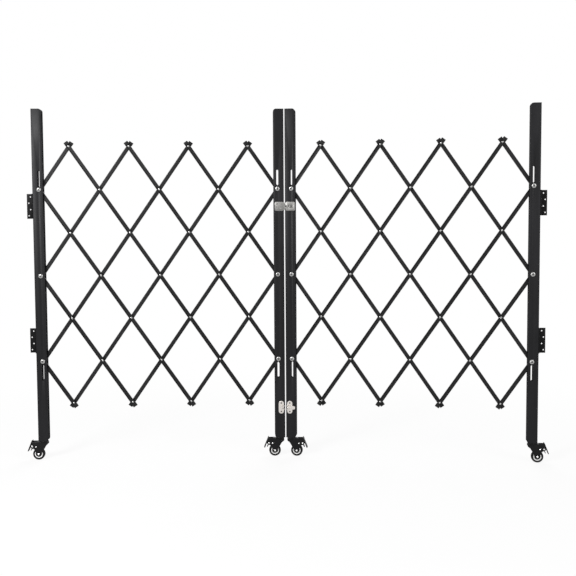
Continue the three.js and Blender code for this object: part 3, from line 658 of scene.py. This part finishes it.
# The axles: bright steel bolts with a domed head in front and a nut behind. A small rivet through the
# cheeks above each one holds the brake's spring.
pin_finish = Finish("caster_pin_steel", "zinc_plate")
pin_finish.surface(
    Base_Color=pin_finish.colours(pin_finish.noise(400), (0.78, 0.78, 0.77), (0.92, 0.92, 0.91)),
    Metallic=1.0,
    Roughness=pin_finish.noise(500) * 0.14 + 0.18,
    Normal=pin_finish.relief(pin_finish.noise(1500), 0.00002, 0.4),
)
axle = turned([(0, -16.4), (3.4, -16.4), (3.8, -15.9), (3.8, 13.2), (4.1, 13.25), (4.1, 13.9),
               (3.6, 14.8), (2.4, 15.6), (0, 15.9)], lay=facing_front)
axle_nut = turned([(3.7, -15.6), (5.6, -15.6), (6.1, -15.1), (6.1, -13.25), (3.7, -13.25)], 6, facing_front)
spring_rivet = turned(both_ways((0, 14.6), (1.6, 14.4), (2.6, 13.6), (2.6, 13.15), (1.6, 13.1)), 16,
                      facing_front)
axle_set = moved(joined(axle, axle_nut, moved(spring_rivet, 10, 0, 31)), trail, 0, axle_z)
for corner, spot in casters:
    set_down(corner + "_caster_axle", axle_set, spot, pin_finish, corner + "_caster_fork")

# The wheels: a black rubber tyre over a moulded rim, with a pale plastic ring on each side and a dark
# hub that runs on the axle
tyre_finish = Finish("tyre_rubber", "wheel_tyre")
tyre_dust = tyre_finish.steps(tyre_finish.noise(120, 4), (0.4, 0), (0.7, 1))
tyre_finish.surface(
    Base_Color=tyre_finish.colours(tyre_dust, (0.004, 0.004, 0.004), (0.012, 0.012, 0.0115)),
    Roughness=tyre_dust * 0.18 + 0.55,
    Normal=tyre_finish.relief(tyre_finish.noise(1800, 3), 0.00005, 0.8),
    Specular_IOR_Level=0.15,
)
ring_finish = Finish("rim_ring_plastic", "wheel_tyre")
ring_dirt = ring_finish.steps(ring_finish.noise(220, 4), (0.45, 0), (0.75, 1))
ring_finish.surface(
    Base_Color=ring_finish.colours(ring_dirt, (0.80, 0.80, 0.79), (0.60, 0.59, 0.58)),
    Roughness=ring_dirt * 0.2 + 0.35,
    Normal=ring_finish.relief(ring_finish.noise(1500), 0.00002, 0.5),
)
hub_finish = Finish("hub_plastic", "wheel_tyre")
hub_finish.surface(
    Base_Color=hub_finish.colours(hub_finish.noise(150), (0.006, 0.006, 0.0065), (0.014, 0.014, 0.0145)),
    Roughness=hub_finish.noise(400) * 0.15 + 0.4,
    Normal=hub_finish.relief(hub_finish.noise(2000), 0.00003, 0.6),
    Specular_IOR_Level=0.2,
)
tyre_profile = both_ways((16.1, 8.2), (17.4, 9.1), (21, 9.1), (23.2, 8.2), (24.3, 6.4), (24.5, 4))
ring_profile = both_ways((12.3, 7.4), (12.7, 8.3), (13.6, 8.7), (15.2, 8.8), (16.2, 8.3), (16.5, 7))
hub_profile = both_ways((4.4, 10), (8.2, 10), (9, 9.4), (9.3, 8), (10.4, 7.2), (12.5, 7.2))
tyre = turned(tyre_profile, 56, facing_front, closed=True)
rim_ring = turned(ring_profile, 56, facing_front, closed=True)
hub = turned(hub_profile, 40, facing_front, closed=True)
for corner, spot in casters:
    caster = corner + "_caster"
    wheel_spot = spot @ Matrix.Translation((trail, 0, axle_z))
    set_down(caster + "_tyre", tyre, wheel_spot, tyre_finish, caster + "_wheel", caster + "_wheel")
    set_down(caster + "_rim_ring", rim_ring, wheel_spot, ring_finish, caster + "_wheel")
    set_down(caster + "_hub", hub, wheel_spot, hub_finish, caster + "_wheel")

# The brake pedals: pressed steel, black coated, a bent and ribbed tread between two ears on a pin
# through the fork, with a lip below for lifting it and a rubber shoe that presses on the tyre
pedal_x, pedal_z, _ = from_axle(1.02, 1.28)
tread_half = 10.6
ear_sheet = 2
tread_line = rounded([(46.8, 81.4, 0.8), (50.2, 81.4, 1.2), (51.6, 77.4, 4), (66.6, 40.4, 4),
                      (68, 36.6, 1.2), (64.6, 36.2, 0.8), (62.8, 39.6, 3), (48, 76.8, 3)])
tread = machined(swept(tread_line, -tread_half, tread_half, facing_front), edge=0.5)
ear_line = rounded([(pedal_x - 4, pedal_z + 4, 3.6), (pedal_x - 4, pedal_z - 4, 3.6),
                    (59.4, 55.4, 1.5), (54.2, 68.6, 1.5)])
ears = [machined(swept(ear_line, near, near + ear_sheet, facing_front), edge=0.4)
        for near in (-tread_half, tread_half - ear_sheet)]
rib = turned(both_ways((0, 8), (0.9, 7.4), (1.1, 6.4)), 12, facing_front)
ribs = [moved(rib, 50.6 + 15.6 * share, 0, 79 - 38.4 * share) for share in (0.2, 0.35, 0.5, 0.65, 0.8)]
lip_line = rounded([(46, 56, 0.6), (48.8, 56.4, 0.8), (54, 42.8, 3), (56.2, 39.4, 0.8),
                    (53.8, 38.2, 0.6), (51, 41.8, 3)])
lip = machined(swept(lip_line, -7, 7, facing_front), edge=0.4)
pedal_sheet = joined(tread, *ears, *ribs, lip)

to_axle = Vector((trail - pedal_x, 0, axle_z - pedal_z))
shoe_end = to_axle.length - wheel_radius - 0.3
shoe = machined(swept(oblong(3, shoe_end, 3, 0.8, 1.2), -9.4, 9.4, facing_front), edge=0.5)
shoe.transform(Matrix.Rotation(-math.atan2(to_axle.z, to_axle.x), 4, "Y"))
shoe = moved(shoe, pedal_x, 0, pedal_z)
pedal_pin = turned(both_ways((0, 14.6), (1.8, 14.4), (3, 13.7), (3, 13.3), (2, 13.25)), 18, facing_front)
pedal_pin = moved(pedal_pin, pedal_x, 0, pedal_z)
for corner, spot in casters:
    brake = corner + "_brake_pedal"
    set_down(brake + "_tread", pedal_sheet, spot, fork_finish, brake, brake)
    set_down(brake + "_shoe", shoe, spot, tyre_finish, brake)
    set_down(brake + "_pin", pedal_pin, spot, pin_finish, brake)

# The hasp: galvanised plates across the two middle posts. The base is riveted to the left post, and
# its strap swings on a pin over an eye that turns in a plate on the right post.
galvanised = Finish("galvanised_steel", "zinc_plate")
spangle_sockets = {"Vector": galvanised.place, "Scale": 420}
spangle_cells = galvanised.node("ShaderNodeTexVoronoi", {}, spangle_sockets, "Color")
spangle = galvanised.node("ShaderNodeSeparateColor", {}, {"Color": spangle_cells}, "Red")
cloud = galvanised.noise(90, 4)
galvanised.surface(
    Base_Color=galvanised.colours(spangle * 0.5 + cloud * 0.5, (0.175, 0.173, 0.166), (0.32, 0.316, 0.306)),
    Metallic=1.0,
    Roughness=spangle * 0.14 + cloud * 0.12 + 0.32,
    Normal=galvanised.relief(galvanised.noise(900, 3), 0.00003, 0.6),
)
hasp_pin = Vector(joints["hasp_strap_swing"]["pos_m"])
pin_left = leaves["left"].inverted() @ hasp_pin
pin_right = leaves["right"].inverted() @ hasp_pin
hasp_level = Matrix.Translation((0, 0, hasp_pin.z * millimetres))
left_hasp = leaves["left"] @ hasp_level
right_hasp = leaves["right"] @ hasp_level
fitting_sheet = 2
fitting_back = post_half + seat_gap
fitting_face = fitting_back + fitting_sheet
strap_back = fitting_face + seat_gap
strap_face = strap_back + fitting_sheet
hasp_half = 14.5
hasp_third = 2 * hasp_half / 3
hasp_radius = 4
hasp_pin_radius = 1.8
knuckle_room = hasp_radius + seat_gap
tongue_half = 4.53
cut_near = 10
cut_far = 30


def hasp_line(near, far):
    """A hasp plate's outline, a little wider beyond its hinge, with slanting corners at the far end."""
    upper = [(far, hasp_half, 0), (far - 4, hasp_half + 4, 0), (near + 7, hasp_half + 4, 3),
             (near, hasp_half, 0)]
    lower = [(x, -z, radius) for x, z, radius in reversed(upper)]
    return rounded(upper + lower)


hasp_plate = swept(hasp_line(pin_left.x, pin_left.x + 39.5), fitting_back, fitting_face, facing_front)
hasp_plate = machined(hasp_plate, edge=pressed_edge)
tongue_room = swept(oblong(pin_left.x - knuckle_room, pin_left.x + knuckle_room, tongue_half + seat_gap),
                    cut_near, cut_far, facing_front)
hasp_plate = machined(hasp_plate, cutters=[tongue_room])
hasp_knuckles = [moved(knuckle(low, low + hasp_third, hasp_radius, hasp_pin_radius), pin_left.x, pin_left.y)
                 for low in (-hasp_half, hasp_half - hasp_third)]
hasp_rivet = turned([(0, fitting_face - 0.5), (3.6, fitting_face - 0.5), (3.6, fitting_face + 0.3),
                     (3, fitting_face + 1), (1.6, fitting_face + 1.3), (0, fitting_face + 1.35)],
                    20, facing_front)
hasp_rivets = [moved(hasp_rivet, pin_left.x + across, 0, up) for across in (14, 30) for up in (11, -11)]
hasp_plate = joined(hasp_plate, *hasp_knuckles, *hasp_rivets)
set_down("hasp_fixed_plate", hasp_plate, left_hasp, galvanised, "middle_posts", "hasp_base")

# The strap's slot reaches from the near side of the eye to where it clears the eye's tip as it swings
eye_x = pin_right.x + 25
eye_half = 6
eye_foot = strap_face + 0.4
eye_top = eye_foot + 13
slot_near = eye_x - eye_half - 1.2
slot_far = pin_right.x + math.hypot(31, eye_top + pin_right.y) + 1.2
strap_near = pin_right.x + knuckle_room
strap_slot = swept(oblong(slot_near, slot_far, 3.5, 1.5, 1.5), cut_near, cut_far, facing_front)
strap = swept(hasp_line(strap_near, pin_right.x + 45), strap_back, strap_face, facing_front)
strap = machined(strap, cutters=[strap_slot], edge=pressed_edge)
tongue = swept(oblong(pin_right.x, strap_near + 7, tongue_half), strap_back, strap_face, facing_front)
tongue = machined(tongue, edge=0.2)
strap_knuckle = knuckle(-tongue_half, tongue_half, hasp_radius, hasp_pin_radius)
strap = joined(strap, tongue, moved(strap_knuckle, pin_right.x, pin_right.y))
set_down("hasp_swinging_strap", strap, right_hasp, galvanised, "hasp_strap", "hasp_strap")

staple_line = oblong(eye_x - 15, eye_x + 15, hasp_half, 2, 2)
staple_plate = machined(swept(staple_line, fitting_back, fitting_face, facing_front), edge=pressed_edge)
set_down("hasp_eye_plate", staple_plate, right_hasp, galvanised, "middle_posts", "hasp_staple_plate")
blade_line = rounded([(eye_x - eye_half, -eye_foot, 0.8), (eye_x - eye_half, -eye_top, 4.5),
                      (eye_x + eye_half, -eye_top, 4.5), (eye_x + eye_half, -eye_foot, 0.8)], 6)
padlock_hole = moved(turned(both_ways((0, 5), (3.2, 5)), 28), eye_x, -(eye_foot + eye_top) / 2)
blade = machined(swept(blade_line, -2, 2), cutters=[padlock_hole], edge=0.6, edge_steps=3)
neck = turned([(0, fitting_back), (2.6, fitting_back), (2.6, eye_foot + 1), (0, eye_foot + 1)], 20,
              facing_front)
eye = joined(blade, moved(neck, eye_x))
set_down("hasp_turning_eye", eye, right_hasp, galvanised, "hasp_eye", "hasp_eye")

# The toggle latch: nickel-plated steel. Its base and lever are on the right post, and the lever draws
# a wire bail against a hook on the left post. Two pan-head screws hold each plate.
nickel = Finish("nickel_plate", "nickel_plate")
nickel_brush = nickel.noise(300, 3, nickel.stretched((1, 1, 9)))
nickel.surface(
    Base_Color=nickel.colours(nickel_brush, (0.62, 0.585, 0.55), (0.78, 0.745, 0.71)),
    Metallic=1.0,
    Roughness=nickel_brush * 0.14 + 0.2,
    Normal=nickel.relief(nickel_brush, 0.00002, 0.5),
)
screw_finish = Finish("latch_screw_steel", "nickel_plate")
screw_finish.surface(
    Base_Color=screw_finish.colours(screw_finish.noise(500), (0.10, 0.096, 0.09), (0.2, 0.19, 0.18)),
    Metallic=1.0,
    Roughness=screw_finish.noise(700) * 0.15 + 0.3,
    Normal=screw_finish.relief(screw_finish.noise(1500), 0.00002, 0.5),
)
latch_z = joints["latch_lever_lift"]["pos_m"][2] * millimetres
latch_level = Matrix.Translation((0, 0, latch_z))
left_latch = leaves["left"] @ latch_level
right_latch = leaves["right"] @ latch_level
plate_end = 11
latch_x = 5.2 + plate_end + web_x
face_y = -fitting_face
latch_line = round_ended((latch_x, -16), (latch_x, 16), plate_end)
latch_plate = machined(swept(latch_line, fitting_back, fitting_face, facing_front), edge=0.5, edge_steps=3)
pan_head = turned([(0, -0.5), (3.3, -0.5), (3.4, 0.2), (3, 0.9), (2, 1.2), (0, 1.3)], 24)
pan_head = machined(pan_head, cutters=[cross_arm, cross_bar])
pan_head = moved(pan_head, 0, 0, fitting_face)
pan_head.transform(facing_front)
latch_screws = joined(*[moved(pan_head, latch_x, 0, up) for up in (-18, 18)])

pivot_x = 12.5 + web_x
pivot_y = face_y - 6
lug_half = 3.5
lug_line = rounded([(pivot_x - lug_half, face_y + 1, 0), (pivot_x + lug_half, face_y + 1, 0),
                    (pivot_x + lug_half, pivot_y - lug_half, 3.4),
                    (pivot_x - lug_half, pivot_y - lug_half, 3.4)], 6)
lug = machined(swept(lug_line, -3, 3), edge=0.3)
latch_base = joined(latch_plate, lug)
set_down("latch_fixed_base", latch_base, right_latch, nickel, "middle_posts", "latch_base")
set_down("latch_base_screws", latch_screws, right_latch, screw_finish, "middle_posts")

# The lever is a channel round the lug whose web widens into a paddle for the fingers
lever_sheet = 1.3
lever_half = 4.7
lever_back = pivot_y - 3.9
lever_front = lever_back - lever_sheet
lever_start = pivot_x - lug_half
neck_end = pivot_x + 8.2
paddle_start = neck_end + 2.5
lever_end = pivot_x + 27
wall_line = rounded([(lever_start, pivot_y + 4.5, 1.5), (lever_start, lever_front, 1.5),
                     (lever_end, lever_front, 0), (lever_end, lever_back, 0),
                     (neck_end, pivot_y + 4.5, 2)])
lever_walls = [machined(swept(wall_line, low, low + lever_sheet), edge=0.25)
               for low in (-lever_half, lever_half - lever_sheet)]
upper_line = [(lever_end, 6, 4), (paddle_start, 9, 2.5), (neck_end, lever_half, 1.5),
              (lever_start, lever_half, 1)]
lower_line = [(x, -z, radius) for x, z, radius in reversed(upper_line)]
lever_plate = swept(rounded(lower_line + upper_line, 4), -lever_back, -lever_front, facing_front)
lever_plate = machined(lever_plate, edge=0.4, edge_steps=3)
lever_pin = moved(turned(both_ways((0, 5.1), (1.6, 5.1), (2, 4.7)), 18), pivot_x, pivot_y)
lever = joined(lever_plate, *lever_walls, lever_pin)
set_down("latch_lifting_lever", lever, right_latch, nickel, "latch_lever", "latch_lever")


def bent_wire(corners, radius, bend):
    """A closed loop of round wire through its corners, each bent to a radius."""
    shape = bpy.data.curves.new("wire", "CURVE")
    shape.dimensions = "3D"
    shape.bevel_depth = radius
    shape.bevel_resolution = 4
    line = shape.splines.new("POLY")
    steps = 5
    path = []
    for index, corner in enumerate(corners):
        before = (corners[index - 1] - corner).normalized() * bend
        after = (corners[(index + 1) % len(corners)] - corner).normalized() * bend
        for step in range(steps + 1):
            share = step / steps
            path.append(corner + before * (1 - share) ** 2 + after * share ** 2)
    line.points.add(len(path) - 1)
    for point, place in zip(line.points, path):
        point.co = (*place, 1)
    line.use_cyclic_u = True
    return bpy.data.meshes.new_from_object(bpy.data.objects.new("wire", shape))


# The bail reaches from its join in the lever, 6 mm from the pivot, to the hook across the gap
wire_radius = 1.6
bail_half = 6.6
hook_y = face_y - 5
hook_left = Vector((latch_x, hook_y, latch_z))
hook_right = leaves["right"].inverted() @ (leaves["left"] @ hook_left)
join_angle = math.radians(10)
join_x = pivot_x + 6 * math.cos(join_angle)
join_y = pivot_y + 6 * math.sin(join_angle)
bail = bent_wire([
    Vector((join_x, join_y, -bail_half)), Vector((join_x, join_y, bail_half)),
    Vector((hook_right.x, hook_right.y, bail_half)), Vector((hook_right.x, hook_right.y, -bail_half)),
], wire_radius, 2.2)
set_down("latch_wire_bail", bail, right_latch, nickel, "latch_bail", "latch_bail")

hook_sheet = 2
hook_end = latch_x + 2.4
stem_x = latch_x - hook_sheet
lip_y = hook_y - wire_radius - 1.2
hook_line = rounded([(stem_x - hook_sheet, face_y + 1, 0), (stem_x, face_y + 1, 0), (stem_x, lip_y, 1),
                     (hook_end, lip_y, 0.8), (hook_end, lip_y - hook_sheet, 0.8),
                     (stem_x - hook_sheet, lip_y - hook_sheet, 2.6)], 4)
hook = machined(swept(hook_line, -4.4, 4.4), edge=0.3)
latch_catch = joined(latch_plate, hook)
set_down("latch_fixed_catch", latch_catch, left_latch, nickel, "middle_posts", "latch_catch")
set_down("latch_catch_screws", latch_screws, left_latch, screw_finish, "middle_posts")

# The floor: plain and pale, and no part of the barrier. It is white to the camera and in reflections,
# a little greyer near the barrier, and matt where the barrier takes light from it.
floor_mesh = bpy.data.meshes.new("floor")
floor_mesh.from_pydata([(-9, -9, 0), (9, -9, 0), (9, 14, 0), (-9, 14, 0)], [], [(0, 1, 2, 3)])
floor = bpy.data.objects.new("floor", floor_mesh)
bpy.context.scene.collection.objects.link(floor)


def outright(finish):
    """1 where it is seen, straight or by way of a mirror or glass, and 0 for the light it gives."""
    straight, mirror, glass = [finish.node("ShaderNodeLightPath", {}, {}, f"Is {ray} Ray")
                               for ray in ("Camera", "Glossy", "Transmission")]
    clamped_sum = {"operation": "ADD", "use_clamp": True}
    return finish.node("ShaderNodeMath", clamped_sum, {0: straight + mirror, 1: glass})


floor_finish = Finish("floor_paint")
floor_finish.tree.nodes.remove(floor_finish.shader)
floor_mesh.materials.append(floor_finish.holder)
matt = floor_finish.node("ShaderNodeBsdfDiffuse", {}, {"Color": (0.92, 0.92, 0.92, 1)})
white = floor_finish.node("ShaderNodeEmission", {}, {"Strength": 1})
reach = floor_finish.node("ShaderNodeVectorMath", {"operation": "LENGTH"}, {0: floor_finish.place}, "Value")
fade_sockets = {"Value": reach, "From Min": 1.2, "From Max": 2.4, "To Min": 0.88, "To Max": 1}
fade = floor_finish.node("ShaderNodeMapRange", {}, fade_sockets, "Result")
blend_sockets = {0: outright(floor_finish) * fade, 1: matt, 2: white}
blend = floor_finish.node("ShaderNodeMixShader", {}, blend_sockets)
floor_finish.feed(floor_finish.tree.nodes["Material Output"].inputs["Surface"], blend)

# The light: a soft white room, a broad lamp high on the left in front, a weaker one on the right, and
# one above and behind that draws the edges
room = Finish("room", world=True)
room_sockets = {"Value": outright(room), "To Min": 0.45, "To Max": 1}
room_light = room.node("ShaderNodeMapRange", {}, room_sockets, "Result")
room.surface(Color=(1, 1, 1, 1), Strength=room_light)
bpy.context.scene.world = room.holder
for name, place, aim, size, power in (
    ("left_lamp", (-2.1, -3.1, 2.3), (-1.05, 0, 1.3), 1.3, 110),
    ("right_lamp", (3.0, -3.0, 2.4), (0.3, 0, 0.8), 2.2, 45),
    ("back_lamp", (0.4, 3.2, 3.4), (0, 0, 0.9), 2.4, 70),
):
    lamp = bpy.data.lights.new(name, "AREA")
    lamp.shape = "DISK"
    lamp.size = size
    lamp.energy = power
    stand = bpy.data.objects.new(name, lamp)
    bpy.context.scene.collection.objects.link(stand)
    stand.location = place
    stand.rotation_euler = (Vector(aim) - Vector(place)).to_track_quat("-Z", "Y").to_euler()

# The camera: a little right of the middle at chest height and some three and a half metres in front,
# turned slightly left and down, as fitted to the photo
lens = bpy.data.cameras.new("camera")
lens.lens = 54.735
lens.sensor_width = 36
camera = bpy.data.objects.new("camera", lens)
bpy.context.scene.collection.objects.link(camera)
camera.matrix_world = (
    Matrix.Translation((0.1765, -3.6082, 0.9453))
    @ Matrix.Rotation(math.radians(2.5726), 4, "Z")
    @ Matrix.Rotation(math.radians(90 - 3.6898), 4, "X")
    @ Matrix.Rotation(math.radians(-0.3380), 4, "Z")
)
bpy.context.scene.camera = camera
bpy.context.scene.view_settings.view_transform = "Standard"
